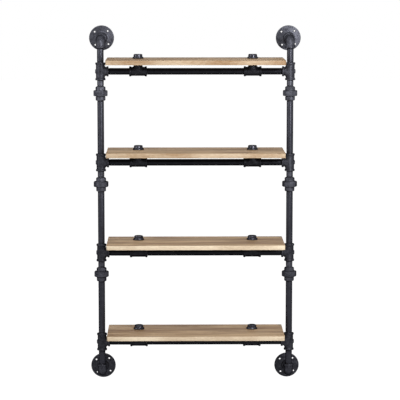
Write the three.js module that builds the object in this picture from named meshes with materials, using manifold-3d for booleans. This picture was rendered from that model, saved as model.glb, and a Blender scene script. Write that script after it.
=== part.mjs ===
// A wall-hung shelving unit made of iron pipe, screwed fittings and four wooden boards.
// Millimetres, +Z up. The wall is the plane Y = 0 and the shelves face -Y.
// The origin is on the wall, midway between the posts and halfway up them.
import * as THREE from 'three';
import { mergeVertices } from 'three/addons/utils/BufferGeometryUtils.js';
import Module from 'manifold-3d';

const wasm = await Module();
wasm.setup();

// Layout of the unit
const shelfCount = 4;
const shelfPitch = 292; // from one rail's axis to the next
const endRise = 102; // from the outermost rails to the centres of the elbows
const postSpacing = 606; // between the axes of the two posts
const wallReach = 118; // from the wall to the axes of the posts
const railTeeInset = 120; // from a post's axis to the centre of the nearest rail tee

// Clearances
const seatGap = 0.3; // between two parts that touch or screw together
const boardHoleGap = 0.6; // round the stub of pipe that passes through a board
const cutOverrun = 2; // how far a cut runs past the face that it opens

// Pipe
const pipeDiameter = 21.3;
const pipeWall = 2.8;
const threadDepth = 13; // how far a socket takes in the end of a pipe

// Walls and beads of the tees and elbows
const bodyWall = 3.35; // round a socket
const branchWall = 2.75; // round the socket of a tee's branch
const beadProud = 1.9; // how far the bead round a mouth stands out of the body
const beadCrest = 3.4; // from a mouth to the fattest ring of its bead
const beadLip = 1.7; // how far the bead draws in again at the mouth
const beadTaper = 4.2; // from the fattest ring down to the body
const runFloor = 4.45; // metal between a tee's end sockets and its branch's socket
const branchFloor = 2.05; // metal between the branch's socket and the bore of the run
const elbowInnerRadius = 2.7; // inside corner of an elbow
const elbowNeck = 3.4; // straight body between an elbow's bend and its beads
const bossDiameter = 14; // casting boss on a post tee, opposite its branch
const bossProud = 2.4; // how far the boss stands out of the body
const bossDraft = 1; // how much the boss narrows towards its face

// Union below each of the upper three tees
const unionDrop = 48; // from the tee's centre to the top of the union
const upperCollarWall = 3.85; // from the socket to the flats of the octagonal collar
const upperCollarHeight = 12.6;
const nutProud = 7.5; // how far the nut's flats stand out of the collar's
const nutHeight = 18;
const nutChamfer = 2;
const lowerCollarWall = 4.75;
const lowerCollarHeight = 14.6;
const collarRound = 2;
const nutGrooveDepth = 1.9; // neck between the nut and the lower collar
const nutGrooveHeight = 1.8;
const nutTurnDegrees = { left: [22.5, 11, 17], right: [13, 0, 6] }; // as each nut was left

// Wall flange
const flangeDiameter = 81;
const flangeRim = 4.2; // thickness at the edge
const flangeDish = 6.4; // thickness where the plate meets the hub
const hubWall = 4.55; // round the socket
const hubFootSpread = 3.5; // how far the curved foot of the hub spreads
const hubRise = 4; // height of that foot
const hubHeight = 17.5; // from the wall to the hub's face
const screwHoleDiameter = 6.5;
const screwInset = 10.5; // from the flange's edge to the centre of a screw hole
const nippleSetback = 1.5; // from the wall to the end of the nipple inside the flange
// as each flange was left, with its screw holes turned from 45 degrees
const flangeTurnDegrees = { top: { left: 3, right: 3.5 }, bottom: { left: 5.5, right: 3.5 } };

// Board
const boardDepth = 210;
const boardThickness = 14.4;
const boardWallGap = 40; // from the wall to the board's back edge
const boardEndGap = 3.8; // between the board's ends and the beads of the post tees
const boardEdgeRound = 1.2;
const boardCornerRadius = 4;

// Cap and its stub of pipe, which clamp a board to a rail tee
const capWall = 3.55;
const capHeight = 14.4;
const capCrown = 2.6; // height of the rounded top edge
const capCrownInset = 3.4; // how far that edge draws in
const capRimProud = 3.6;
const capRimHeight = 3.6;
const capRimTaper = 2.4;

// Facets
const pipeSides = 12;
const nutSides = 8;
const flangeSides = 22;
const screwHoleSides = 8;
const bossSides = 8;
const bendSteps = 5;
const cornerSteps = 1;
const screwHoleCount = 4;

// Sizes that follow from the ones above
const quarterTurn = Math.PI / 2;
const halfTurn = Math.PI;
const pipeRadius = pipeDiameter / 2;
const socketRadius = pipeRadius + seatGap;
const socketFloor = threadDepth - seatGap; // how far a pipe's end lies behind the mouth
const bodyRadius = socketRadius + bodyWall;
const branchRadius = socketRadius + branchWall;
const beadRadius = bodyRadius + beadProud;
const runReach = socketRadius + runFloor + threadDepth; // from a tee's centre to its ends
const branchReach = socketRadius + branchFloor + threadDepth; // to the end of its branch
const bendRadius = bodyRadius + elbowInnerRadius; // of an elbow's centre line
const elbowReach = bendRadius + elbowNeck + beadTaper + beadCrest; // to an elbow's mouths
const unionLength = upperCollarHeight + nutHeight + lowerCollarHeight;
const railTeeX = postSpacing / 2 - railTeeInset;
const boardFoot = branchReach + seatGap; // from a rail's axis to the underside of its board

const fittingIron = new THREE.MeshStandardMaterial({ color: 0x3a3a40, roughness: 0.62, metalness: 0.75 });
const pipeSteel = new THREE.MeshStandardMaterial({ color: 0x36363c, roughness: 0.5, metalness: 0.8 });
const boardOak = new THREE.MeshStandardMaterial({ color: 0xc9a980, roughness: 0.7, metalness: 0 });

// Geometry helpers

// Merges shared corners and drops the empty triangles that a profile leaves on its axis.
function weld(geometry) {
  const bare = geometry.index ? geometry.toNonIndexed() : geometry.clone();
  bare.deleteAttribute('normal');
  bare.deleteAttribute('uv');
  const merged = mergeVertices(bare);
  const corners = merged.index.array;
  const kept = [];
  for (let i = 0; i < corners.length; i += 3) {
    const [a, b, c] = [corners[i], corners[i + 1], corners[i + 2]];
    if (a !== b && b !== c && c !== a) kept.push(a, b, c);
  }
  merged.setIndex(kept);
  return merged;
}

function toSolid(geometry) {
  const welded = weld(geometry);
  return new wasm.Manifold(new wasm.Mesh({
    numProp: 3,
    vertProperties: new Float32Array(welded.attributes.position.array),
    triVerts: new Uint32Array(welded.index.array),
  }));
}

function fromSolid(solid) {
  const mesh = solid.getMesh();
  const geometry = new THREE.BufferGeometry();
  geometry.setAttribute('position', new THREE.BufferAttribute(new Float32Array(mesh.vertProperties), 3));
  geometry.setIndex(Array.from(mesh.triVerts));
  return geometry;
}

// Joins the first list of geometries and cuts the second list out of them.
function shaped(joined, cuts = []) {
  let solid = toSolid(joined[0]);
  for (const piece of joined.slice(1)) solid = solid.add(toSolid(piece));
  for (const cut of cuts) solid = solid.subtract(toSolid(cut));
  return fromSolid(solid);
}

// Revolves [radius, height] pairs round +Z.
function turned(profile, sides) {
  const points = profile.map(([radius, height]) => new THREE.Vector2(radius, height));
  return new THREE.LatheGeometry(points, sides).rotateX(quarterTurn);
}

function rod(radius, low, high, sides) {
  return turned([[0, low], [radius, low], [radius, high], [0, high]], sides);
}

function pipe(length) {
  const bore = pipeRadius - pipeWall;
  const wall = [[bore, 0], [pipeRadius, 0], [pipeRadius, length], [bore, length], [bore, 0]];
  return weld(turned(wall, pipeSides));
}

// The threaded mouth that a pipe end enters, sunk from the face at this reach.
function socket(reach) {
  return rod(socketRadius, reach - threadDepth, reach + cutOverrun, pipeSides);
}

// The outline of a mouth from the body out to the end face, as [radius, height] pairs.
function mouthProfile(body, reach) {
  return [
    [body, reach - beadCrest - beadTaper],
    [beadRadius, reach - beadCrest],
    [beadRadius - beadLip, reach],
  ];
}

function flipped(profile) {
  return profile.map(([radius, height]) => [radius, -height]).reverse();
}

// Fittings

// A tee with its run along Z and its branch along X.
// A bored tee lets the rail pass straight through; the others have a socket at each end of the run.
function tee(isBored, hasBoss) {
  const top = mouthProfile(bodyRadius, runReach);
  const run = turned([[0, -runReach], ...flipped(top), ...top, [0, runReach]], pipeSides);
  const side = mouthProfile(branchRadius, branchReach);
  const branch = turned([[0, 0], [branchRadius, 0], ...side, [0, branchReach]], pipeSides);
  const joined = [run, branch.rotateY(quarterTurn)];
  if (hasBoss) joined.push(castingBoss());
  const cuts = [socket(branchReach).rotateY(quarterTurn)];
  if (isBored) {
    cuts.push(rod(socketRadius, -runReach - cutOverrun, runReach + cutOverrun, pipeSides));
  } else {
    cuts.push(socket(runReach), socket(runReach).rotateX(halfTurn));
  }
  return shaped(joined, cuts);
}

function castingBoss() {
  const face = bodyRadius + bossProud;
  const foot = bossDiameter / 2;
  return turned([[0, 0], [foot, 0], [foot - bossDraft, face], [0, face]], bossSides).rotateY(-quarterTurn);
}

// One ring of corners round a point on a path in the YZ plane, for an elbow.
function elbowRing(y, z, turn, radius) {
  const ring = [];
  for (let i = 0; i < pipeSides; i += 1) {
    const angle = (i / pipeSides) * 2 * Math.PI;
    const across = radius * Math.sin(angle);
    const x = radius * Math.cos(angle);
    ring.push(new THREE.Vector3(x, y - across * Math.sin(turn), z + across * Math.cos(turn)));
  }
  return ring;
}

// Skins a list of rings and closes the two ends.
function loft(rings) {
  const corners = rings.flat();
  const sides = rings[0].length;
  const last = (rings.length - 1) * sides;
  const index = [];
  for (let i = 0; i < last; i += sides) {
    for (let k = 0; k < sides; k += 1) {
      const next = (k + 1) % sides;
      index.push(i + k, i + next, i + sides + k);
      index.push(i + next, i + sides + next, i + sides + k);
    }
  }
  for (let k = 1; k < sides - 1; k += 1) {
    index.push(0, k + 1, k);
    index.push(last, last + k, last + k + 1);
  }
  const geometry = new THREE.BufferGeometry().setFromPoints(corners);
  geometry.setIndex(index);
  return geometry;
}

// An elbow whose mouths face +Y and -Z, skinned from the bottom of one socket to the other's.
function elbow() {
  const mouth = mouthProfile(bodyRadius, elbowReach);
  const outward = [[socketRadius, elbowReach - threadDepth], [socketRadius, elbowReach]];
  const leg = [...outward, ...mouth.reverse()];
  const rings = leg.map(([radius, reach]) => elbowRing(reach, 0, 0, radius));
  for (let i = 0; i <= bendSteps; i += 1) {
    const turn = (i / bendSteps) * quarterTurn;
    const y = bendRadius * (1 - Math.sin(turn));
    const z = bendRadius * (Math.cos(turn) - 1);
    rings.push(elbowRing(y, z, turn, bodyRadius));
  }
  leg.reverse().forEach(([radius, reach]) => rings.push(elbowRing(0, -reach, quarterTurn, radius)));
  return weld(loft(rings));
}

// The corner radius of an octagon whose flats lie this far from its centre.
function cornerRadius(flatRadius) {
  return flatRadius / Math.cos(Math.PI / nutSides);
}

// A union hanging below Z = 0, with the short nipple that joins it to the tee above.
function pipeUnion(nutTurn) {
  const collarFlat = socketRadius + upperCollarWall;
  const collar = cornerRadius(collarFlat);
  const nut = cornerRadius(collarFlat + nutProud);
  const nutTop = -upperCollarHeight;
  const nutFoot = nutTop - nutHeight;
  const collarTop = nutFoot - nutGrooveHeight;
  const collarFoot = nutFoot - lowerCollarHeight;
  const lower = socketRadius + lowerCollarWall;
  const groove = lower - nutGrooveDepth;
  const nippleTop = unionDrop - runReach + socketFloor;

  const upperCollar = turned([
    [0, nutTop], [collar, nutTop], [collar, -collarRound], [collar - collarRound, 0], [0, 0],
  ], nutSides).rotateZ(halfTurn / nutSides);
  const nutRing = turned([
    [0, nutFoot], [nut - nutChamfer, nutFoot], [nut, nutFoot + nutChamfer],
    [nut, nutTop - nutChamfer], [nut - nutChamfer, nutTop], [0, nutTop],
  ], nutSides).rotateZ(nutTurn);
  const tail = turned([
    [0, collarFoot], [lower - collarRound, collarFoot], [lower, collarFoot + collarRound],
    [lower, collarTop], [groove, collarTop], [groove, nutFoot], [0, nutFoot],
  ], pipeSides);
  const nipple = rod(pipeRadius, 0, nippleTop, pipeSides);
  const mouth = socket(-collarFoot).rotateX(halfTurn);
  return shaped([nutRing, upperCollar, tail, nipple], [mouth]);
}

// A wall flange with its back on Z = 0, its hub towards +Z and its screw holes turned.
function wallFlange(turn) {
  const rim = flangeDiameter / 2;
  const hub = socketRadius + hubWall;
  const foot = hub + hubFootSpread;
  const plate = turned([
    [0, 0], [rim, 0], [rim, flangeRim], [foot, flangeDish],
    [hub, flangeDish + hubRise], [hub, hubHeight], [0, hubHeight],
  ], flangeSides);
  const cuts = [rod(socketRadius, -cutOverrun, hubHeight + cutOverrun, pipeSides)];
  for (let i = 0; i < screwHoleCount; i += 1) {
    const angle = ((i + 0.5) / screwHoleCount) * 2 * Math.PI + turn;
    const hole = rod(screwHoleDiameter / 2, -cutOverrun, flangeDish + cutOverrun, screwHoleSides);
    const reach = rim - screwInset;
    cuts.push(hole.translate(reach * Math.cos(angle), reach * Math.sin(angle), 0));
  }
  return shaped([plate], cuts);
}

// A cap sitting on Z = 0 with its stub of pipe below it.
function capWithStub(stubLength) {
  const body = pipeRadius + capWall;
  const rim = body + capRimProud;
  return weld(turned([
    [0, -stubLength], [pipeRadius, -stubLength], [pipeRadius, 0], [rim, 0], [rim, capRimHeight],
    [body, capRimHeight + capRimTaper], [body, capHeight - capCrown],
    [body - capCrownInset, capHeight], [0, capHeight],
  ], pipeSides));
}

// Board

// A closed outline round an arc's centre, with corners at the same angles as a pipe's.
function circlePath(x, y, radius) {
  const path = new THREE.Path();
  const points = [];
  for (let i = 0; i < pipeSides; i += 1) {
    const angle = (i / pipeSides) * 2 * Math.PI;
    points.push(new THREE.Vector2(x + radius * Math.cos(angle), y + radius * Math.sin(angle)));
  }
  path.setFromPoints(points);
  return path;
}

// A board lying on Z = 0, with Y = 0 over the rail's axis and a hole over each rail tee.
function board() {
  const right = postSpacing / 2 - beadRadius - boardEndGap - boardEdgeRound;
  const back = wallReach - boardWallGap - boardEdgeRound;
  const front = wallReach - boardWallGap - boardDepth + boardEdgeRound;
  const corner = boardCornerRadius;
  const outline = new THREE.Shape();
  outline.moveTo(-right + corner, front);
  outline.lineTo(right - corner, front);
  outline.absarc(right - corner, front + corner, corner, -quarterTurn, 0);
  outline.lineTo(right, back - corner);
  outline.absarc(right - corner, back - corner, corner, 0, quarterTurn);
  outline.lineTo(-right + corner, back);
  outline.absarc(-right + corner, back - corner, corner, quarterTurn, halfTurn);
  outline.lineTo(-right, front + corner);
  outline.absarc(-right + corner, front + corner, corner, halfTurn, halfTurn + quarterTurn);
  const slab = new THREE.ExtrudeGeometry(outline, {
    depth: boardThickness - 2 * boardEdgeRound,
    curveSegments: cornerSteps,
    bevelThickness: boardEdgeRound,
    bevelSize: boardEdgeRound,
    bevelSegments: 1,
  }).translate(0, 0, boardEdgeRound);
  const holes = [-railTeeX, railTeeX].map((x) => new THREE.ExtrudeGeometry(
    new THREE.Shape(circlePath(x, 0, pipeRadius + boardHoleGap).getPoints()),
    { depth: boardThickness + 2 * cutOverrun, bevelEnabled: false },
  ).translate(0, 0, -cutOverrun));
  return shaped([slab], holes);
}

// Assembly

const unit = new THREE.Group();

function place(parent, name, geometry, material, position = [0, 0, 0], rotation = [0, 0, 0]) {
  const mesh = new THREE.Mesh(geometry, material);
  mesh.name = name;
  mesh.position.set(...position);
  mesh.rotation.set(...rotation);
  parent.add(mesh);
}

const railHeights = [];
for (let i = 0; i < shelfCount; i += 1) {
  railHeights.push(((shelfCount - 1) / 2 - i) * shelfPitch);
}
const elbowHeight = railHeights[0] + endRise;

// One post, its wall fixings and its fittings. The right post is the left one turned to face it.
function addPost(side) {
  const isLeft = side === 'left';
  const post = new THREE.Group();
  post.position.set(isLeft ? -postSpacing / 2 : postSpacing / 2, -wallReach, 0);
  unit.add(post);

  const nippleEnd = elbowReach - socketFloor;
  const nippleLength = wallReach - nippleSetback - nippleEnd;
  for (const end of ['top', 'bottom']) {
    const height = end === 'top' ? elbowHeight : -elbowHeight;
    const onWall = [0, wallReach, height];
    const behindElbow = [0, nippleEnd, height];
    const elbowTurn = end === 'top' ? 0 : halfTurn;
    const toWall = [-quarterTurn, 0, 0];
    const fromWall = [quarterTurn, 0, 0];
    const flange = wallFlange(THREE.MathUtils.degToRad(flangeTurnDegrees[end][side]));
    place(post, `wall_flange_${end}_${side}`, flange, fittingIron, onWall, fromWall);
    place(post, `wall_nipple_${end}_${side}`, pipe(nippleLength), pipeSteel, behindElbow, toWall);
    place(post, `elbow_${end}_${side}`, elbow(), fittingIron, [0, 0, height], [0, elbowTurn, 0]);
  }

  const endPipeLength = endRise - elbowReach - runReach + 2 * socketFloor;
  const endPipeLow = railHeights[0] + runReach - socketFloor;
  const footPipeLow = -endPipeLow - endPipeLength;
  place(post, `post_pipe_top_${side}`, pipe(endPipeLength), pipeSteel, [0, 0, endPipeLow]);
  place(post, `post_pipe_bottom_${side}`, pipe(endPipeLength), pipeSteel, [0, 0, footPipeLow]);

  railHeights.forEach((height, level) => {
    const number = level + 1;
    const branchInward = [0, 0, isLeft ? 0 : halfTurn];
    place(post, `post_tee_${side}_${number}`, tee(false, true), fittingIron, [0, 0, height], branchInward);
    if (number === shelfCount) return;
    const nutTurn = THREE.MathUtils.degToRad(nutTurnDegrees[side][level]);
    const unionTop = height - unionDrop;
    place(post, `union_${side}_${number}`, pipeUnion(nutTurn), fittingIron, [0, 0, unionTop]);
    const pipeTop = unionTop - unionLength + socketFloor;
    const pipeLow = railHeights[number] + runReach - socketFloor;
    place(post, `post_pipe_${side}_${number}`, pipe(pipeTop - pipeLow), pipeSteel, [0, 0, pipeLow]);
  });
}

// One shelf: the rail between the posts, its two tees, the board and the caps that clamp it.
function addShelf(level) {
  const shelf = new THREE.Group();
  shelf.position.set(0, -wallReach, railHeights[level]);
  unit.add(shelf);
  const number = level + 1;
  const railHalf = postSpacing / 2 - branchReach + socketFloor;
  place(shelf, `rail_${number}`, pipe(2 * railHalf), pipeSteel, [-railHalf, 0, 0], [0, quarterTurn, 0]);
  place(shelf, `board_${number}`, board(), boardOak, [0, 0, boardFoot]);
  const capFoot = boardFoot + boardThickness + seatGap;
  const stubLength = capFoot - branchReach + socketFloor;
  for (const [side, x] of [['left', -railTeeX], ['right', railTeeX]]) {
    const branchUp = [0, -quarterTurn, 0];
    place(shelf, `rail_tee_${side}_${number}`, tee(true, false), fittingIron, [x, 0, 0], branchUp);
    place(shelf, `cap_${side}_${number}`, capWithStub(stubLength), fittingIron, [x, 0, capFoot]);
  }
}

addPost('left');
addPost('right');
for (let level = 0; level < shelfCount; level += 1) addShelf(level);

export default unit;
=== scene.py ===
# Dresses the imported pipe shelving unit: finer iron fittings, pipes and oak boards round the CAD frame.
# Metres, +Z up. The wall is Y = 0 and the shelves face -Y.
import math

import bpy
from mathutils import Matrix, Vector


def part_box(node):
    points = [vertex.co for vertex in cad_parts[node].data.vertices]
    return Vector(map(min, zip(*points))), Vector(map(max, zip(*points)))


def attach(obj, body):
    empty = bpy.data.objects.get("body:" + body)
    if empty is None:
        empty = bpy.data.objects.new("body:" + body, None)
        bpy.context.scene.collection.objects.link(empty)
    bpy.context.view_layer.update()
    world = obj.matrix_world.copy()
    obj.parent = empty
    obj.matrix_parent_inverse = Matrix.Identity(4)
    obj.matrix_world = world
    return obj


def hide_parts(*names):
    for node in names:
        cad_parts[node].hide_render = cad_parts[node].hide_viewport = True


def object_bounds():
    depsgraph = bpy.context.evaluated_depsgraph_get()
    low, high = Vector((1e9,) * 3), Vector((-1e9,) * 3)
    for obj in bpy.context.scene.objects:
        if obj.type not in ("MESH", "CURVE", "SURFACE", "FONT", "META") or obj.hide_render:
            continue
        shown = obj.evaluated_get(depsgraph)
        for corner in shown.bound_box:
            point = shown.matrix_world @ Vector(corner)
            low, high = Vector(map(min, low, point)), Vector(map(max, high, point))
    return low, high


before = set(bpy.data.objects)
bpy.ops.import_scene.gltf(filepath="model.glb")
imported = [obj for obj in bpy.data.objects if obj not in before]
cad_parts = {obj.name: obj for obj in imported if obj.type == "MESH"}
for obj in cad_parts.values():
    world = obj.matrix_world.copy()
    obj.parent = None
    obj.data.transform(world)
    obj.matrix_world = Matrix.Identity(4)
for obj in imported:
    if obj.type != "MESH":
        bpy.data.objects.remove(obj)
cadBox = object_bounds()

mm = 0.001
touch = 0.01 * mm  # places nearer to each other than this are one place
origin = Vector((0, 0, 0))
xAxis, yAxis, zAxis = Vector((1, 0, 0)), Vector((0, 1, 0)), Vector((0, 0, 1))
postSides = ("left", "right")
shelfLevels = range(1, 5)  # from the top shelf down
print("frame loaded:", len(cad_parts), "nodes")


# Ways of working that the pieces share

def deselectAll():
    if bpy.context.mode != "OBJECT":
        bpy.ops.object.mode_set(mode="OBJECT")
    bpy.ops.object.select_all(action="DESELECT")


def makeActive(piece):
    deselectAll()
    piece.select_set(True)
    bpy.context.view_layer.objects.active = piece


def copyOf(model):
    # a copy with its own mesh
    makeActive(model)
    bpy.ops.object.duplicate(linked=False)
    return bpy.context.object


def keepPlace():
    # puts the active object's place, turn and size into its mesh
    bpy.ops.object.transform_apply(location=True, rotation=True, scale=True)


def settle(piece, place=(0, 0, 0), turn=(0, 0, 0)):
    # turns a piece by degrees and puts it in its place, for good
    makeActive(piece)
    piece.rotation_euler = [math.radians(angle) for angle in turn]
    piece.location = place
    keepPlace()


def isNear(value, target):
    return abs(value - target) < touch


def selectWhere(piece, test, kind="VERT"):
    # selects the corners, or the faces by their middles, that pass a test
    bpy.ops.object.mode_set(mode="EDIT")
    bpy.ops.mesh.select_mode(type=kind)
    bpy.ops.mesh.select_all(action="DESELECT")
    bpy.ops.object.mode_set(mode="OBJECT")
    if kind == "VERT":
        for corner in piece.data.vertices:
            corner.select = test(corner.co)
    else:
        for face in piece.data.polygons:
            face.select = test(face.center)
    bpy.ops.object.mode_set(mode="EDIT")


def startRing(name, row, sides, fill="NOTHING"):
    # a ring of corners, open or filled, at the (radius, height) that an outline starts with
    radius, height = row
    deselectAll()
    bpy.ops.mesh.primitive_circle_add(vertices=sides, radius=radius, fill_type=fill, location=(0, 0, height))
    piece = bpy.context.object
    piece.name = name
    keepPlace()
    bpy.ops.object.mode_set(mode="EDIT")
    bpy.ops.mesh.select_all(action="SELECT")
    return piece


def growBy(steps, axis=zAxis):
    # carries the selected ring or disk on through (radius, reach) steps along an axis through the origin
    radius, reach = steps[0]
    for nextRadius, nextReach in steps[1:]:
        bpy.ops.mesh.extrude_region_move(TRANSFORM_OT_translate={"value": axis * (nextReach - reach)})
        share = nextRadius / radius
        bpy.ops.transform.resize(value=[1 if part else share for part in axis],
                                 center_override=axis * nextReach)
        radius, reach = nextRadius, nextReach


def closeRing():
    bpy.ops.mesh.extrude_region_move()
    bpy.ops.mesh.merge(type="CENTER")


def cleanUp(piece):
    bpy.ops.object.mode_set(mode="EDIT")
    bpy.ops.mesh.select_mode(type="VERT")
    bpy.ops.mesh.select_all(action="SELECT")
    bpy.ops.mesh.remove_doubles(threshold=touch)
    bpy.ops.mesh.normals_make_consistent(inside=False)
    bpy.ops.object.mode_set(mode="OBJECT")


def applied(piece, kind, **values):
    # adds one modifier with these values and applies it
    modifier = piece.modifiers.new(kind.lower(), kind)
    for name, value in values.items():
        setattr(modifier, name, value)
    makeActive(piece)
    bpy.ops.object.modifier_apply(modifier=modifier.name)


def carve(piece, tool, operation):
    applied(piece, "BOOLEAN", operation=operation, solver="MANIFOLD", object=tool)
    bpy.data.objects.remove(tool)


def subdivided(piece, levels=2):
    applied(piece, "SUBSURF", levels=levels, render_levels=levels)


def smoothShaded(piece, degrees=35):
    makeActive(piece)
    bpy.ops.object.shade_smooth_by_angle(angle=math.radians(degrees))


def outline(stretches, sizes):
    # (radius, reach) pairs: each stretch names a radius and a reach, and gives steps in millimetres from them
    return [(sizes[radius] + out * mm, sizes[reach] + along * mm)
            for radius, reach, steps in stretches for out, along in steps]


def caged(rows, sides):
    # widens rings of so many corners, so that they shrink to their own radius when they are subdivided
    shrink = 2 + math.cos(2 * math.pi / sides)
    return [(radius * 3 / shrink, reach) for radius, reach in rows]


def turnedSolid(name, profile, sides):
    # a closed solid of revolution about Z from (radius, height) pairs, its ends closed by fans
    piece = startRing(name, profile[0], sides, "TRIFAN")
    growBy(profile)
    cleanUp(piece)
    return piece


def centreOf(node):
    low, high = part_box(node)
    return (low + high) / 2


def camelName(node):
    first, *rest = node.split("_")
    return first + "".join(word.capitalize() for word in rest)


def standFor(piece, node):
    # names a piece after the CAD node that it replaces
    piece.name = camelName(node)
    piece.data.name = piece.name
    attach(piece, "root")
    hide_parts(node)
    return piece


def setPlace(model, node, place, turn=(0, 0, 0)):
    # copies a finished model to where the CAD node is
    piece = copyOf(model)
    settle(piece, place, turn)
    return standFor(piece, node)


# Tees, grown as one smooth casting cage

fitting = {
    "sides": 12,
    "socket": 10.72 * mm,
    "socketDepth": 13 * mm,
    "body": 14.3 * mm,
    "branch": 13.7 * mm,
    "bead": 16.3 * mm,
    "mouth": [
        ("body", "face", [(0, -8.6), (0, -7.3)]),
        ("bead", "face", [(0, -5.9), (0, -3.4), (0, -1.0), (-1.1, 0)]),
        ("socket", "face", [(1.6, 0), (0.1, -1.1), (0, -2.4)]),
        ("socket", "floor", [(0, 0.8), (0, 0)]),
    ],
}
tee = {
    "reach": 28.4 * mm,
    "branchReach": 26 * mm,
    "branchStart": 17.6 * mm,
    "crotch": {0: 17.2 * mm, 30: 15.2 * mm, 60: 9.4 * mm},  # the opening's half height, by degrees from +X
    "crotchWidth": 1.06,
    "skinShare": 1.15,  # corners further out than this share of the socket's radius are on the skin
    "nearDegrees": 5,
    "bossRadius": 7 * mm,
    "bossProud": 2.4 * mm,
    "bossSides": 32,
    "boss": [
        ("bossRadius", "body", [(1.75, -5.3), (0.84, -0.4), (0, 0.5)]),
        ("bossRadius", "bossFace", [(-0.45, -0.8), (-0.69, -0.24), (-1.25, 0)]),
    ],
}


def mouthSteps(body, reach):
    # a beaded mouth's cage, from the body out over the bead and into the socket
    sizes = dict(fitting, body=body, face=reach, floor=reach - fitting["socketDepth"])
    return caged(outline(fitting["mouth"], sizes), fitting["sides"])


def angleOf(p):
    # degrees from +X, seen from above
    return abs(math.degrees(math.atan2(p.y, p.x)))


def isOnSkin(p):
    return math.hypot(p.x, p.y) > fitting["socket"] * tee["skinShare"]


def isOnSkinAt(p, degrees):
    return isOnSkin(p) and abs(angleOf(p) - degrees) < tee["nearDegrees"]


def makeTee(name, isBored, hasBoss):
    sides, crotch = fitting["sides"], tee["crotch"]
    ring, widest = crotch[30], max(crotch)
    upper = mouthSteps(fitting["body"], tee["reach"])
    lower = [(radius, -out) for radius, out in reversed(upper)]
    middle = caged([(fitting["body"], height) for height in (-ring, 0, ring)], sides)
    run = lower + middle + upper
    piece = startRing(name, run[0], sides)
    growBy(run)
    ends = [run[0][1], run[-1][1]]
    if isBored:
        selectWhere(piece, lambda p: any(isNear(p.z, end) for end in ends))
        bpy.ops.mesh.bridge_edge_loops()
    else:
        for end in ends:
            selectWhere(piece, lambda p: isNear(p.z, end))
            closeRing()

    # opens the run towards +X and lifts the corners round the opening to the branch's outline
    selectWhere(piece, lambda p: isOnSkin(p) and angleOf(p) < widest and abs(p.z) < ring, "FACE")
    bpy.ops.mesh.delete(type="FACE")
    for angle, height in crotch.items():
        for sign in (-1, 1):
            selectWhere(piece, lambda p: isOnSkinAt(p, angle) and isNear(p.z, sign * ring))
            bpy.ops.transform.translate(value=(0, 0, sign * (height - ring)))
    selectWhere(piece, lambda p: isOnSkinAt(p, widest) and abs(p.z) < crotch[0])
    bpy.ops.transform.resize(value=(1, tee["crotchWidth"], 1), center_override=origin)

    # adds the branch's ring, grows its mouth and joins it to the opening
    branch = mouthSteps(fitting["branch"], tee["branchReach"])
    branch[0] = (branch[0][0], tee["branchStart"])
    bpy.ops.mesh.select_all(action="DESELECT")
    bpy.ops.mesh.primitive_circle_add(vertices=sides, radius=branch[0][0], location=(branch[0][1], 0, 0),
                                      rotation=(0, math.pi / 2, 0))
    growBy(branch, xAxis)
    closeRing()
    bpy.ops.mesh.select_all(action="DESELECT")
    bpy.ops.mesh.select_non_manifold()
    bpy.ops.mesh.bridge_edge_loops()
    cleanUp(piece)
    subdivided(piece)
    if hasBoss:
        sizes = dict(tee, body=fitting["body"], bossFace=fitting["body"] + tee["bossProud"])
        boss = turnedSolid("boss", outline(tee["boss"], sizes), tee["bossSides"])
        settle(boss, turn=(0, -90, 0))
        carve(piece, boss, "UNION")
    smoothShaded(piece)
    return piece


postTee = makeTee("postTee", isBored=False, hasBoss=True)
railTee = makeTee("railTee", isBored=True, hasBoss=False)
print("tees modelled:", len(postTee.data.polygons), len(railTee.data.polygons), "faces")

# Elbows, one ring carried out of one socket, round the bend and into the other

elbow = {"reach": 28 * mm, "bendRadius": 17 * mm, "steps": 4}


def makeElbow(name):
    out = mouthSteps(fitting["body"], elbow["reach"])
    bend, floor, body = elbow["bendRadius"], out[-1][1], out[0][0]
    down = [(radius, -reach) for radius, reach in reversed(out)]
    piece = startRing(name, down[0], fitting["sides"])
    growBy(down + [(body, -bend)])
    bpy.ops.mesh.spin(steps=elbow["steps"], angle=math.pi / 2, center=(0, bend, -bend), axis=(1, 0, 0))
    growBy([(body, bend)] + out, yAxis)
    for isFloor in (lambda p: isNear(p.z, -floor) and math.hypot(p.x, p.y) < fitting["body"],
                    lambda p: isNear(p.y, floor) and math.hypot(p.x, p.z) < fitting["body"]):
        selectWhere(piece, isFloor)
        closeRing()
    cleanUp(piece)
    subdivided(piece)
    smoothShaded(piece)
    return piece


elbowModel = makeElbow("elbow")
print("elbow modelled:", len(elbowModel.data.polygons), "faces")

# Pipes, with the last turns of their threads showing beside each mouth

pipe = {
    "radius": 10.65 * mm,
    "wall": 2.8 * mm,
    "sides": 48,
    "hidden": 12.7 * mm,
    "turns": 2,
    "pitch": 1.81 * mm,
    "threadDepth": 0.62 * mm,
    "threadInset": 0.05 * mm,
    "rootShare": 0.45,
    "crestShare": 0.9,
    "tip": [
        ("bore", "start", [(0, 0.5), (0.4, 0)]),
        ("radius", "start", [(-0.9, 0), (0, 0.8)]),
        ("radius", "hidden", [(0, -0.3)]),
    ],
    "shoulder": [("radius", "threadEnd", [(0, 0.35)])],
}


def threadSteps(radius, start):
    # (radius, reach) pairs of the turns that show, as grooves a pitch apart
    pitch = pipe["pitch"]
    rows = []
    for turn in range(pipe["turns"]):
        at = start + turn * pitch
        rows += [(radius, at), (radius - pipe["threadDepth"], at + pitch * pipe["rootShare"]),
                 (radius, at + pitch * pipe["crestShare"])]
    return rows


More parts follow.
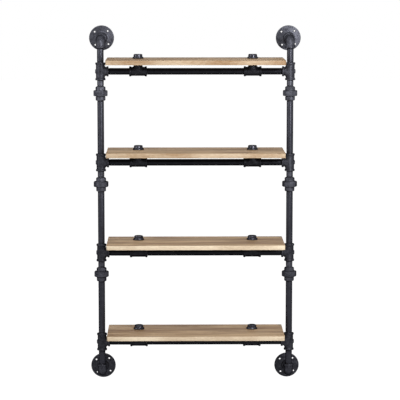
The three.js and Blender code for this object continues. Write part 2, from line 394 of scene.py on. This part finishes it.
def makePipe(name, length):
    # a tube along Z from 0, plain inside its sockets, threaded where it leaves them
    radius, hidden = pipe["radius"], pipe["hidden"]
    sizes = dict(pipe, bore=radius - pipe["wall"], start=0, threadEnd=hidden + pipe["turns"] * pipe["pitch"])
    near = (outline(pipe["tip"], sizes) + threadSteps(radius - pipe["threadInset"], hidden)
            + outline(pipe["shoulder"], sizes))
    far = [(radius, length - reach) for radius, reach in reversed(near)]
    piece = startRing(name, near[0], pipe["sides"])
    growBy(near + far + [near[0]])
    cleanUp(piece)
    smoothShaded(piece)
    return piece


# Unions: an octagonal upper end, a loose octagonal nut and a round lower end, from 0 down

union = {
    "length": 45.2 * mm,
    "collarFlat": 14.8 * mm,
    "collarHeight": 12.6 * mm,
    "nutFlat": 22.3 * mm,
    "nutHeight": 18 * mm,
    "nutFaceRadius": 21.4 * mm,
    "chamferReach": 1 * mm,
    "chamferSlope": 0.72,
    "lowerRadius": 15.7 * mm,
    "grooveRadius": 13.8 * mm,
    "grooveHeight": 1.8 * mm,
    "nippleRadius": 10.65 * mm,
    "nippleFoot": -2 * mm,
    "nippleTop": 32.3 * mm,
    "lowerThread": 0.4 * mm,
    "plainStart": 6 * mm,
    "plainEnd": 2.2 * mm,  # this and the upper thread start so far below the next socket
    "upperThread": 2 * mm,
    "turnDegrees": {"left": [22.5, 11, 17], "right": [13, 0, 6]},
    "edgeRound": 0.5 * mm,
    "edgeSteps": 2,
    "edgeDegrees": 24,
    "flatDegrees": 1,  # faces that meet flatter than this become one
    "smoothDegrees": 32,
    "sides": 48,
    "cutSides": 96,
    "nut": [
        ("nutFaceRadius", "nutFoot", [(-0.3, 0), (0, 0)]),
        ("nutCorner", "nutShoulder", [(0, 0)]),
        ("nutCorner", "nutNeck", [(0, 0)]),
        ("nutFaceRadius", "nutTop", [(0, 0), (-0.3, 0)]),
    ],
    "collar": [
        ("collarFlat", "nutTop", [(2, -2)]),
        ("collarFlat", "top", [(2, -3.6), (0.7, -2.2), (-0.9, -0.7), (-2.3, 0)]),
    ],
    "tail": [
        ("grooveRadius", "nutFoot", [(0, 1)]),
        ("grooveRadius", "grooveFoot", [(0, 0.4), (0.2, 0)]),
        ("lowerRadius", "grooveFoot", [(-0.5, 0), (0, -0.6)]),
        ("lowerRadius", "foot", [(0, 3), (-0.4, 1.4), (-1.5, 0.3), (-2.4, 0)]),
        ("socket", "foot", [(0.9, 0), (0, 1)]),
        ("socket", "floor", [(0, 0)]),
    ],
}


def octagonSize(flat):
    # from the middle to a corner
    return flat / math.cos(math.pi / 8)


def unionSizes():
    # the union's values, with the places that are worked out from them
    nutTop, foot = -union["collarHeight"], -union["length"]
    nutFoot = nutTop - union["nutHeight"]
    nutCorner = octagonSize(union["nutFlat"]) + union["chamferReach"]
    rise = (nutCorner - union["nutFaceRadius"]) * union["chamferSlope"]
    return dict(union, top=0, nutTop=nutTop, nutFoot=nutFoot, grooveFoot=nutFoot - union["grooveHeight"],
                foot=foot, socket=fitting["socket"], floor=foot + fitting["socketDepth"],
                nutCorner=nutCorner, nutShoulder=nutFoot + rise, nutNeck=nutTop - rise)


def octagonCut(name, flat, body):
    # an octagonal bar as long as a turned body and cut to it, so that its chamfers curve at the flats
    corner = octagonSize(flat)
    bar = turnedSolid(name, [(corner, body[0][1]), (corner, body[-1][1])], 8)
    carve(bar, turnedSolid("turnedBody", body, union["cutSides"]), "INTERSECT")
    cleanUp(bar)
    bpy.ops.object.mode_set(mode="EDIT")
    bpy.ops.mesh.dissolve_limited(angle_limit=math.radians(union["flatDegrees"]))
    bpy.ops.object.mode_set(mode="OBJECT")
    applied(bar, "BEVEL", width=union["edgeRound"], segments=union["edgeSteps"], limit_method="ANGLE",
            angle_limit=math.radians(union["edgeDegrees"]))
    return bar


def makeNut():
    return octagonCut("nut", union["nutFlat"], outline(union["nut"], unionSizes()))


def makeUnionEnds():
    # the octagonal upper end, the nipple above it, and the round lower end that starts inside the nut
    collar = octagonCut("collar", union["collarFlat"], outline(union["collar"], unionSizes()))
    tail = turnedSolid("tail", outline(union["tail"], unionSizes()), union["sides"])
    radius, showing = union["nippleRadius"], union["nippleTop"] - pipe["hidden"]
    nipple = turnedSolid("nipple", [
        (radius, union["nippleFoot"]), *threadSteps(radius, union["lowerThread"]),
        (radius, union["plainStart"]), (radius, showing - union["plainEnd"]),
        *threadSteps(radius, showing - union["upperThread"]), (radius, union["nippleTop"]),
    ], union["sides"])
    carve(collar, tail, "UNION")
    carve(collar, nipple, "UNION")
    return collar


def makeUnion(name, turnDegrees):
    # the ends with the nut on them, turned as it was left when it was tightened
    nut, piece = copyOf(nutModel), copyOf(unionEnds)
    settle(nut, turn=(0, 0, turnDegrees))
    piece.name = name
    carve(piece, nut, "UNION")
    smoothShaded(piece, union["smoothDegrees"])
    return piece


nutModel, unionEnds = makeNut(), makeUnionEnds()
print("union modelled:", len(nutModel.data.polygons) + len(unionEnds.data.polygons), "faces")

# Wall flanges: a dished plate with a hub and four countersunk screw holes

flange = {
    "back": 0,
    "radius": 40.5 * mm,
    "rim": 4.2 * mm,
    "dish": 6.2 * mm,
    "hubFoot": 20 * mm,
    "hubRadius": 15.5 * mm,
    "hubHeight": 17.5 * mm,
    "socket": fitting["socket"],
    "sides": 24,
    "smoothDegrees": 30,
    "outline": [
        ("socket", "back", [(0, 0), (1, 0)]),
        ("radius", "back", [(-1.4, 0), (-0.2, 0.25), (0, 1.2)]),
        ("radius", "rim", [(0, -1.2), (-0.5, -0.1), (-2.0, 0.15)]),
        ("hubFoot", "dish", [(7, -0.76), (0.8, -0.1), (-1.6, 1.3)]),
        ("hubRadius", "dish", [(0.7, 4), (0, 6)]),
        ("hubRadius", "hubHeight", [(0, -1.3), (-0.5, -0.2), (-1.6, 0)]),
        ("socket", "hubHeight", [(1.2, 0), (0.2, -1), (0, -2.4)]),
        ("socket", "back", [(0, 1)]),
    ],
    "holes": 4,
    "holeRadius": 2.75 * mm,
    "holeReach": 30 * mm,
    "holeSides": 24,
    "screwHole": [
        ("holeRadius", "back", [(0, -2)]),
        ("holeRadius", "rim", [(0, -0.5), (3.5, 3)]),
    ],
    "turnDegrees": {"top": {"left": 3, "right": 3.5}, "bottom": {"left": 5.5, "right": 3.5}},
}


def makeFlange(name):
    rows = caged(outline(flange["outline"], flange), flange["sides"])
    piece = startRing(name, rows[0], flange["sides"])
    growBy(rows + [rows[0]])
    cleanUp(piece)
    subdivided(piece)
    for i in range(flange["holes"]):
        angle = math.tau * (i + 0.5) / flange["holes"]
        cutter = turnedSolid("screwHole", outline(flange["screwHole"], flange), flange["holeSides"])
        settle(cutter, (flange["holeReach"] * math.cos(angle), flange["holeReach"] * math.sin(angle), 0))
        carve(piece, cutter, "DIFFERENCE")
    smoothShaded(piece, flange["smoothDegrees"])
    return piece


flangeModel = makeFlange("flange")
print("flange modelled:", len(flangeModel.data.polygons), "faces")

# Caps, each with the stub of pipe that clamps the board to the rail tee below

cap = {
    "seat": 0,
    "height": 14.4 * mm,
    "body": 14.2 * mm,
    "rim": 17.8 * mm,
    "clearance": 0.3 * mm,
    "sides": 12,
    "outline": [
        ("stub", "foot", [(-1.2, 0), (-0.2, 0.5), (0, 2)]),
        ("stub", "seat", [(0, -3), (0, -0.2), (0.8, 0)]),
        ("rim", "seat", [(-1.4, 0), (-0.2, 0.4), (0, 1.4), (0, 3.3), (-0.5, 4.3)]),
        ("body", "seat", [(1.1, 5.3), (0.2, 6.2), (0, 7.2)]),
        ("body", "height", [(0, -3.6), (-0.3, -1.7), (-1.7, -0.4), (-3.4, 0), (-9, 0)]),
    ],
}


def makeCap(name):
    low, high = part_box("cap_left_1")
    sizes = dict(cap, foot=cap["height"] - (high - low).z, stub=fitting["socket"] - cap["clearance"])
    piece = turnedSolid(name, caged(outline(cap["outline"], sizes), cap["sides"]), cap["sides"])
    subdivided(piece)
    smoothShaded(piece)
    return piece


capModel = makeCap("cap")
print("cap modelled:", len(capModel.data.polygons), "faces")

# Boards, planed flat, with eased edges and two holes

board = {
    "cornerRadius": 4 * mm,
    "cornerSteps": 5,
    "edgeRound": 1.3 * mm,
    "edgeSteps": 3,
    "edgeDegrees": 60,
    "smoothDegrees": 30,
    "holeRadius": 11.25 * mm,
    "holeEase": 0.5 * mm,
    "holeSides": 48,
}


def makeBoard(node, holes):
    low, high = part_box(node)
    deselectAll()
    bpy.ops.mesh.primitive_cube_add(size=1, location=(low + high) / 2)
    piece = bpy.context.object
    piece.dimensions = high - low
    keepPlace()
    bpy.ops.object.mode_set(mode="EDIT")
    bpy.ops.mesh.select_mode(type="EDGE")
    bpy.ops.mesh.select_all(action="DESELECT")
    bpy.ops.object.mode_set(mode="OBJECT")
    corners = piece.data.vertices
    for edge in piece.data.edges:
        start, end = [corners[i].co.z for i in edge.vertices]
        edge.select = not isNear(start, end)
    bpy.ops.object.mode_set(mode="EDIT")
    bpy.ops.mesh.bevel(offset=board["cornerRadius"], segments=board["cornerSteps"], affect="EDGES")
    bpy.ops.object.mode_set(mode="OBJECT")
    radius, ease = board["holeRadius"], board["holeEase"]
    for x in holes:
        # the cutter flares at both faces, and goes as far past them as the flare is deep
        cutter = turnedSolid("boardHole", [
            (radius + 2 * ease, low.z - ease), (radius, low.z + ease), (radius, high.z - ease),
            (radius + 2 * ease, high.z + ease),
        ], board["holeSides"])
        settle(cutter, (x, centreOf("rail_1").y, 0))
        carve(piece, cutter, "DIFFERENCE")
    applied(piece, "BEVEL", width=board["edgeRound"], segments=board["edgeSteps"], limit_method="ANGLE",
            angle_limit=math.radians(board["edgeDegrees"]))
    smoothShaded(piece, board["smoothDegrees"])
    return standFor(piece, node)


# Places every piece where its CAD node is

ironPieces, pipePieces, boardPieces = [], [], []


def placeIron(model, node, place, turn=(0, 0, 0)):
    ironPieces.append(setPlace(model, node, place, turn))


def placePipe(node, axis, turn=(0, 0, 0)):
    low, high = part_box(node)
    length = (high - low).dot(axis)
    model = makePipe("pipe", length)
    pipePieces.append(setPlace(model, node, centreOf(node) - axis * length / 2, turn))
    bpy.data.objects.remove(model)


for side in postSides:
    post = centreOf(f"post_pipe_top_{side}")
    facing = 0 if side == "left" else 180
    for end, flip in (("top", 0), ("bottom", 180)):
        arm = centreOf(f"wall_nipple_{end}_{side}")
        turn = (90, -flange["turnDegrees"][end][side], 0)
        placeIron(flangeModel, f"wall_flange_{end}_{side}", (arm.x, 0, arm.z), turn)
        placeIron(elbowModel, f"elbow_{end}_{side}", (post.x, post.y, arm.z), (0, flip, 0))
        placePipe(f"wall_nipple_{end}_{side}", yAxis, (-90, 0, 0))
        placePipe(f"post_pipe_{end}_{side}", zAxis)
    for level in shelfLevels:
        height = centreOf(f"rail_{level}").z
        placeIron(postTee, f"post_tee_{side}_{level}", (post.x, post.y, height), (0, 0, facing))
        if level == shelfLevels[-1]:
            continue
        model = makeUnion("union", union["turnDegrees"][side][level - 1])
        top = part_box(f"union_{side}_{level}")[0].z + union["length"]
        placeIron(model, f"union_{side}_{level}", (post.x, post.y, top))
        bpy.data.objects.remove(model)
        placePipe(f"post_pipe_{side}_{level}", zAxis)
print("posts placed")

for level in shelfLevels:
    rail = centreOf(f"rail_{level}")
    placePipe(f"rail_{level}", xAxis, (0, 90, 0))
    holes = []
    for side in postSides:
        x, top = centreOf(f"cap_{side}_{level}").x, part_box(f"cap_{side}_{level}")[1].z
        holes.append(x)
        placeIron(railTee, f"rail_tee_{side}_{level}", (x, rail.y, rail.z), (0, -90, 0))
        placeIron(capModel, f"cap_{side}_{level}", (x, rail.y, top - cap["height"]))
    boardPieces.append(makeBoard(f"board_{level}", holes))
for model in (postTee, railTee, elbowModel, nutModel, unionEnds, flangeModel, capModel):
    bpy.data.objects.remove(model)
print("shelves placed")


# Ways of working with nodes

def feed(tree, socket, value):
    # links another node's output to a socket, or sets a number or colour on it
    if isinstance(value, bpy.types.NodeSocket):
        tree.links.new(value, socket)
    elif socket.type == "RGBA":
        socket.default_value = (*value, 1)
    else:
        socket.default_value = value


def addNode(tree, kind, inputs=None, **settings):
    # a node with its settings, and what each input is fed with
    node = tree.nodes.new(kind)
    for name, value in settings.items():
        setattr(node, name, value)
    for key, value in (inputs or {}).items():
        feed(tree, node.inputs[key], value)
    return node


def mathNode(tree, operation, first, second=0.0, third=0.0, clamp=False):
    node = addNode(tree, "ShaderNodeMath", {0: first, 1: second, 2: third}, operation=operation,
                   use_clamp=clamp)
    return node.outputs[0]


def rangeNode(tree, source, low, high, toLow=0.0, toHigh=1.0):
    node = addNode(tree, "ShaderNodeMapRange", {"Value": source, "From Min": low, "From Max": high,
                                               "To Min": toLow, "To Max": toHigh})
    return node.outputs["Result"]


def mixColour(tree, share, first, second):
    # a Mix node of colours has its factor and two colours at these sockets, and its colour at output 2
    return addNode(tree, "ShaderNodeMix", {0: share, 6: first, 7: second}, data_type="RGBA").outputs[2]


def noise(tree, vector, scale, detail=3.0, roughness=0.5, distortion=0.0):
    node = addNode(tree, "ShaderNodeTexNoise", {"Vector": vector, "Scale": scale, "Detail": detail,
                                                "Roughness": roughness, "Distortion": distortion})
    return node.outputs[0]


def attribute(tree, name):
    return addNode(tree, "ShaderNodeAttribute", attribute_name=name).outputs["Fac"]


def newGroup(name, outputs, **values):
    # a node group with a Vector input, inputs for numbers, and outputs for masks and heights
    group = bpy.data.node_groups.new(name, "ShaderNodeTree")
    group.interface.new_socket(name="Vector", in_out="INPUT", socket_type="NodeSocketVector")
    for label, value in values.items():
        socket = group.interface.new_socket(name=label, in_out="INPUT", socket_type="NodeSocketFloat")
        socket.default_value = value
    for label in outputs:
        group.interface.new_socket(name=label, in_out="OUTPUT", socket_type="NodeSocketFloat")
    return group, group.nodes.new("NodeGroupInput").outputs, group.nodes.new("NodeGroupOutput").inputs


# Sand-cast skin: Tone varies over the surface, Height is the grain that the mould left

castSkin = {
    "grain": 300.0,
    "grainDetail": (5.0, 0.66),
    "patch": 90.0,
    "patchDetail": (4.0, 0.6),
    "pits": 420.0,
    "pitRange": (0.05, 0.3),
    "patchHeight": 0.5,
    "patchTone": 0.45,
    "grainTone": 0.55,
    "toneRange": (0.38, 0.62),
}


def makeCastGroup():
    group, entry, out = newGroup("sandCastSkin", ["Tone", "Height"], Grain=castSkin["grain"],
                                 Patch=castSkin["patch"])
    vector = entry["Vector"]
    grain = noise(group, vector, entry["Grain"], *castSkin["grainDetail"])
    patch = noise(group, vector, entry["Patch"], *castSkin["patchDetail"])
    pits = addNode(group, "ShaderNodeTexVoronoi", {"Vector": vector, "Scale": castSkin["pits"]})
    holes = rangeNode(group, pits.outputs["Distance"], *castSkin["pitRange"])
    pitted = mathNode(group, "MULTIPLY", grain, holes)
    patchTone = mathNode(group, "MULTIPLY", patch, castSkin["patchTone"])
    tone = mathNode(group, "MULTIPLY_ADD", grain, castSkin["grainTone"], patchTone)
    feed(group, out["Tone"], rangeNode(group, tone, *castSkin["toneRange"]))
    feed(group, out["Height"], mathNode(group, "MULTIPLY_ADD", patch, castSkin["patchHeight"], pitted))
    return group


# Rubbed edges: Mask is where the paint is thin, on sharp outer edges, broken up by noise; on the caps it also
# places painted highlights on the rims

rubbedEdgeAndGlint = {"start": 0.56, "full": 0.68, "breaks": 160.0, "breakRange": (0.35, 0.65)}


def makeWearAndGlintGroup():
    group, entry, out = newGroup("rubbedEdges", ["Mask"], Start=rubbedEdgeAndGlint["start"], Full=rubbedEdgeAndGlint["full"])
    sharpness = addNode(group, "ShaderNodeNewGeometry").outputs["Pointiness"]
    edge = rangeNode(group, sharpness, entry["Start"], entry["Full"])
    broken = rangeNode(group, noise(group, entry["Vector"], rubbedEdgeAndGlint["breaks"]), *rubbedEdgeAndGlint["breakRange"])
    feed(group, out["Mask"], mathNode(group, "MULTIPLY", edge, broken, clamp=True))
    return group


# Painted top light: Mask is painted light, the upper half of the unit paler, patchy and thinning out
# downwards

paintedTopLight = {"low": -0.25, "high": 0.6, "patch": 90.0, "patchRange": (0.3, 0.7, 0.55, 1.0)}


def makePaintedTopLightGroup():
    group, entry, out = newGroup("heightBloom", ["Mask"], Low=paintedTopLight["low"], High=paintedTopLight["high"])
    height = addNode(group, "ShaderNodeSeparateXYZ", {"Vector": entry["Vector"]}).outputs["Z"]
    thinning = rangeNode(group, height, entry["Low"], entry["High"])
    patchy = rangeNode(group, noise(group, entry["Vector"], paintedTopLight["patch"]), *paintedTopLight["patchRange"])
    feed(group, out["Mask"], mathNode(group, "MULTIPLY", thinning, patchy, clamp=True))
    return group


# Oak grain along X: Figure is the broad wavy bands, Ring the growth rings that follow them, Streak finer
# bands, Fibre hairlines, Fleck short marks, Pore dark dashes

oakGrain = {
    "Figure": {"scale": (2.4, 15, 20), "detail": 2.0, "distortion": 0.9, "range": (0.42, 0.585)},
    "Streak": {"scale": (3.6, 64, 70), "detail": 3.0, "distortion": 0.9, "range": (0.42, 0.59)},
    "Fibre": {"scale": (16, 420, 300), "detail": 3.0, "distortion": 0.3, "range": (0.3, 0.7)},
    "Fleck": {"scale": (70, 300, 260), "detail": 2.0, "distortion": 0.6, "range": (0.40, 0.62)},
    "Pore": {"scale": (90, 1500, 1200), "detail": 2.0, "distortion": 0.0, "range": (0.56, 0.68)},
}
oakRings = {"roughness": 0.55, "count": 40.0, "width": 1.0}


def makeGrainGroup():
    group, entry, out = newGroup("oakGrain", [*oakGrain, "Ring"])
    for part, grain in oakGrain.items():
        stretched = addNode(group, "ShaderNodeMapping", {"Vector": entry["Vector"], "Scale": grain["scale"]})
        band = noise(group, stretched.outputs[0], 1.0, grain["detail"], oakRings["roughness"],
                     grain["distortion"])
        feed(group, out[part], rangeNode(group, band, *grain["range"]))
        if part == "Figure":
            rings = mathNode(group, "MULTIPLY", band, oakRings["count"])
            feed(group, out["Ring"], mathNode(group, "PINGPONG", rings, oakRings["width"]))
    return group


castGroup, wearAndGlintGroup, paintedTopLightGroup = makeCastGroup(), makeWearAndGlintGroup(), makePaintedTopLightGroup()
grainGroup = makeGrainGroup()


# Black iron, lacquered pipe and glossy caps, as one kind of material with values of its own

ironLook = {
    "dark": (0.018, 0.018, 0.023),
    "light": (0.056, 0.057, 0.069),
    # the next colour is painted light: the paler colour that pieces take towards the top of the unit, in each
    # look
    "paintedLit": (0.092, 0.095, 0.114),
    "rubbedAndGlint": (0.13, 0.135, 0.16),
    "rubbedAndGlintShare": 0.5,
    "roughness": (0.31, 0.43),
    "metallic": 0.5,
    "bump": 0.6,
    "bumpDistance": 0.4 * mm,
    "grain": 300.0,
    "patch": 90.0,
}
pipeLook = {
    "dark": (0.026, 0.026, 0.033),
    "light": (0.037, 0.038, 0.047),
    "paintedLit": (0.066, 0.068, 0.084),
    "rubbedAndGlint": (0.10, 0.105, 0.125),
    "rubbedAndGlintShare": 0.35,
    "roughness": (0.24, 0.32),
    "metallic": 0.5,
    "bump": 0.02,
    "bumpDistance": 0.15 * mm,
    "grain": 500.0,
    "patch": 60.0,
}
capLook = {
    "dark": (0.022, 0.022, 0.028),
    "light": (0.072, 0.073, 0.090),
    "paintedLit": (0.066, 0.068, 0.083),
    # partly painted highlight: the caps' rubbed edges are paler and stronger than wear alone, for glints on
    # their rims
    "rubbedAndGlint": (0.26, 0.268, 0.31),
    "rubbedAndGlintShare": 0.6,
    "roughness": (0.10, 0.18),
    "metallic": 0.8,
    "bump": 0.18,
    "bumpDistance": 0.3 * mm,
    "grain": 300.0,
    "patch": 90.0,
}
metalLook = {
    "specular": 0.0,
    "edgeTint": (0, 0, 0),
    # how grainy the painted light on the upper pieces is
    "paintedLitGrain": 0.6,
    # painted shade and light on each piece: rails and rail tees darker for the shade under the boards, post
    # tees and lower wall flanges darker, unions lighter for the light on their flats; the first of these that
    # its name starts with
    "shadeTone": {"railTee": 0.4, "rail": 0.32, "postTee": 0.8, "union": 1.35, "wallFlangeBottom": 0.82,
                  "": 1.0},
}


def newMaterial(name, specular, metallic=0.0):
    material = bpy.data.materials.new(name)
    material.use_nodes = True
    tree = material.node_tree
    shader = tree.nodes["Principled BSDF"]
    shader.inputs["Specular IOR Level"].default_value = specular
    shader.inputs["Metallic"].default_value = metallic
    return material, tree, shader


def objectPlace(tree):
    return addNode(tree, "ShaderNodeTexCoord").outputs["Object"]


def groupNode(tree, group, vector, **values):
    return addNode(tree, "ShaderNodeGroup", {"Vector": vector, **values}, node_tree=group).outputs


def bumpInto(tree, shader, height, look):
    bump = addNode(tree, "ShaderNodeBump", {"Strength": look["bump"], "Distance": look["bumpDistance"],
                                            "Height": height})
    feed(tree, shader.inputs["Normal"], bump.outputs[0])


def makeMetalMaterial(name, look):
    material, tree, shader = newMaterial(name, metalLook["specular"], look["metallic"])
    place = objectPlace(tree)
    feed(tree, shader.inputs["Specular Tint"], metalLook["edgeTint"])
    skin = groupNode(tree, castGroup, place, Grain=look["grain"], Patch=look["patch"])
    wearAndGlint, paintedLight = groupNode(tree, wearAndGlintGroup, place), groupNode(tree, paintedTopLightGroup, place)
    bare = mixColour(tree, skin["Tone"], look["dark"], look["light"])
    grainy = mixColour(tree, skin["Tone"], look["dark"], look["paintedLit"])
    paintedLit = mixColour(tree, metalLook["paintedLitGrain"], look["paintedLit"], grainy)
    # painted light: paler towards the top of the unit
    colour = mixColour(tree, paintedLight["Mask"], bare, paintedLit)
    # wear, and on the caps also painted highlights on the rims
    rubbedAndGlint = mathNode(tree, "MULTIPLY", wearAndGlint["Mask"], look["rubbedAndGlintShare"])
    wornAndGlinting = mixColour(tree, rubbedAndGlint, colour, look["rubbedAndGlint"])
    # painted shade and light: each piece's colour is scaled by its tone
    toned = addNode(tree, "ShaderNodeVectorMath", {"Vector": wornAndGlinting, "Scale": attribute(tree, "shadeTone")},
                    operation="SCALE")
    feed(tree, shader.inputs["Base Color"], toned.outputs[0])
    feed(tree, shader.inputs["Roughness"], rangeNode(tree, skin["Tone"], 0, 1, *look["roughness"]))
    bumpInto(tree, shader, skin["Height"], look)
    return material


# Oak: long edges are paler than the faces, partly sapwood and partly painted light for the lit fronts, a
# different share on each board, and the ends show darker end grain

oakLook = {
    "faceDark": (0.13, 0.062, 0.026),
    "faceLight": (0.63, 0.45, 0.275),
    "edgeDark": (0.33, 0.20, 0.105),
    "edgeLight": (0.88, 0.75, 0.56),
    "endTint": (0.30, 0.20, 0.12),
    "pore": (0.16, 0.10, 0.06),
    "shares": {"Figure": 0.36, "Ring": 0.17, "Streak": 0.34, "Fibre": 0.13},
    # each board's edge share from the top down, partly painted light set against the lamps' fall-off towards
    # the bottom
    "edgeTone": [0.24, 0.14, 0.86, 0.65],
    "edgePatch": (5.0, 2.0),
    "edgePatchRange": (0.35, 0.65, -0.22, 0.19),
    "edgeGrainRange": (0, 1, -0.14, 0.19),
    "edgeFleckRange": (0, 1, -0.07, 0.07),
    "flatRange": (0.45, 0.8),
    "endRange": (0.6, 0.9),
    "endShare": 0.55,
    "poreShare": 0.25,
    "poreDepth": 0.4,
    "roughness": (0.68, 0.52),
    "specular": 0.1,
    "bump": 0.25,
    "bumpDistance": 0.2 * mm,
}


def makeOakMaterial():
    material, tree, shader = newMaterial("paleOak", oakLook["specular"])
    place = objectPlace(tree)
    grain = groupNode(tree, grainGroup, place)
    blend = 0.0
    for part, share in oakLook["shares"].items():
        blend = mathNode(tree, "MULTIPLY_ADD", grain[part], share, blend)
    face = mixColour(tree, blend, oakLook["faceDark"], oakLook["faceLight"])
    grained = rangeNode(tree, blend, *oakLook["edgeGrainRange"])
    flecked = mathNode(tree, "ADD", grained, rangeNode(tree, grain["Fleck"], *oakLook["edgeFleckRange"]))
    patches = rangeNode(tree, noise(tree, place, *oakLook["edgePatch"]), *oakLook["edgePatchRange"])
    patched = mathNode(tree, "ADD", flecked, patches)
    # partly painted light: each board's edges paler by its own tone
    edgeShare = mathNode(tree, "ADD", patched, attribute(tree, "edgeTone"), clamp=True)
    edge = mixColour(tree, edgeShare, oakLook["edgeDark"], oakLook["edgeLight"])
    normal = addNode(tree, "ShaderNodeNewGeometry").outputs["True Normal"]
    parts = addNode(tree, "ShaderNodeSeparateXYZ", {"Vector": normal}).outputs
    isFlat = rangeNode(tree, mathNode(tree, "ABSOLUTE", parts["Z"]), *oakLook["flatRange"])
    isEnd = rangeNode(tree, mathNode(tree, "ABSOLUTE", parts["X"]), *oakLook["endRange"])
    # partly painted light: the long edges paler than the faces
    side = mixColour(tree, isFlat, edge, face)
    ended = mixColour(tree, mathNode(tree, "MULTIPLY", isEnd, oakLook["endShare"]), side, oakLook["endTint"])
    pores = mathNode(tree, "MULTIPLY", grain["Pore"], oakLook["poreShare"])
    feed(tree, shader.inputs["Base Color"], mixColour(tree, pores, ended, oakLook["pore"]))
    feed(tree, shader.inputs["Roughness"], rangeNode(tree, grain["Fibre"], 0, 1, *oakLook["roughness"]))
    height = mathNode(tree, "MULTIPLY_ADD", grain["Pore"], -oakLook["poreDepth"], grain["Fibre"])
    bumpInto(tree, shader, height, oakLook)
    return material


def dress(pieces, material):
    for piece in pieces:
        piece.data.materials.clear()
        piece.data.materials.append(material)


def setTone(piece, name, tone):
    layer = piece.data.attributes.new(name, "FLOAT", "POINT")
    layer.data.foreach_set("value", [tone] * len(piece.data.vertices))


caps = [piece for piece in ironPieces if piece.name.startswith("cap")]
castings = [piece for piece in ironPieces if piece not in caps]
dress(castings, makeMetalMaterial("castBlackIron", ironLook))
dress(caps, makeMetalMaterial("glossyCapIron", capLook))
dress(pipePieces, makeMetalMaterial("lacqueredPipe", pipeLook))
dress(boardPieces, makeOakMaterial())
for piece, tone in zip(boardPieces, oakLook["edgeTone"]):
    setTone(piece, "edgeTone", tone)
# painted shade and light: a tone for each piece, by its name
for piece in ironPieces + pipePieces:
    tones = [tone for kind, tone in metalLook["shadeTone"].items() if piece.name.startswith(kind)]
    setTone(piece, "shadeTone", tones[0])
print("finishes made")

# Floor, light and camera

stageLook = {
    "floorDrop": 0.85,
    "floorSize": 60,
    "floorColour": (0.55, 0.55, 0.55),
    "floorRoughness": 0.9,
    "floorSpecular": 0.0,
    "floorGlow": 0.94,
    "worldColour": (1, 1, 1),
    "ambient": 0.16,
    "lamps": {
        "keyLamp": {"watts": 46, "size": (0.2, 1.7), "place": (0.95, -2.2, 0.8)},
        "fillLamp": {"watts": 14, "size": (0.25, 1.5), "place": (-2.2, -1.2, 0.7)},
        "topLamp": {"watts": 50, "size": (1.4, 1.0), "place": (0, -2.6, 2.6)},
    },
}
cameraLook = {
    "place": (-0.067, -6.37, 0.79),
    "turnDegrees": (83.015, 0, -0.75),
    "focalPixels": 1957,
    "framePixels": 400,
    "sensor": 36,
}


def seenDirectly(tree):
    # 1 for camera, glossy and transmission rays
    path = addNode(tree, "ShaderNodeLightPath").outputs
    seen = mathNode(tree, "ADD", path["Is Camera Ray"], path["Is Glossy Ray"], clamp=True)
    return mathNode(tree, "ADD", seen, path["Is Transmission Ray"], clamp=True)


def makeFloor():
    deselectAll()
    height = cadBox[0].z - stageLook["floorDrop"]
    bpy.ops.mesh.primitive_plane_add(size=stageLook["floorSize"], location=(0, 0, height))
    floor = bpy.context.object
    floor.name = "studioFloor"
    material, tree, shader = newMaterial("paleFloor", stageLook["floorSpecular"])
    feed(tree, shader.inputs["Base Color"], stageLook["floorColour"])
    feed(tree, shader.inputs["Roughness"], stageLook["floorRoughness"])
    strength = mathNode(tree, "MULTIPLY", seenDirectly(tree), stageLook["floorGlow"])
    glow = addNode(tree, "ShaderNodeEmission", {"Strength": strength})
    both = addNode(tree, "ShaderNodeAddShader", {0: shader.outputs[0], 1: glow.outputs[0]})
    feed(tree, tree.nodes["Material Output"].inputs["Surface"], both.outputs[0])
    floor.data.materials.append(material)


def makeWorld():
    world = bpy.data.worlds.new("studio")
    bpy.context.scene.world = world
    world.use_nodes = True
    tree = world.node_tree
    background = tree.nodes["Background"].inputs
    feed(tree, background["Color"], stageLook["worldColour"])
    feed(tree, background["Strength"], rangeNode(tree, seenDirectly(tree), 0, 1, stageLook["ambient"], 1))


def addLamp(name, watts, size, place):
    lamp = bpy.data.lights.new(name, "AREA")
    lamp.energy = watts
    lamp.shape = "RECTANGLE"
    lamp.size, lamp.size_y = size
    holder = bpy.data.objects.new(name, lamp)
    bpy.context.scene.collection.objects.link(holder)
    holder.location = place
    holder.rotation_euler = (origin - Vector(place)).to_track_quat("-Z", "Y").to_euler()


def addCamera():
    camera = bpy.data.objects.new("camera", bpy.data.cameras.new("camera"))
    bpy.context.scene.collection.objects.link(camera)
    camera.location = cameraLook["place"]
    camera.rotation_euler = [math.radians(angle) for angle in cameraLook["turnDegrees"]]
    camera.data.sensor_width = cameraLook["sensor"]
    camera.data.lens = cameraLook["focalPixels"] * cameraLook["sensor"] / cameraLook["framePixels"]
    bpy.context.scene.camera = camera


makeFloor()
makeWorld()
for name, lamp in stageLook["lamps"].items():
    addLamp(name, **lamp)
addCamera()
bpy.context.scene.view_settings.view_transform = "Standard"
print("stage set")

deselectAll()
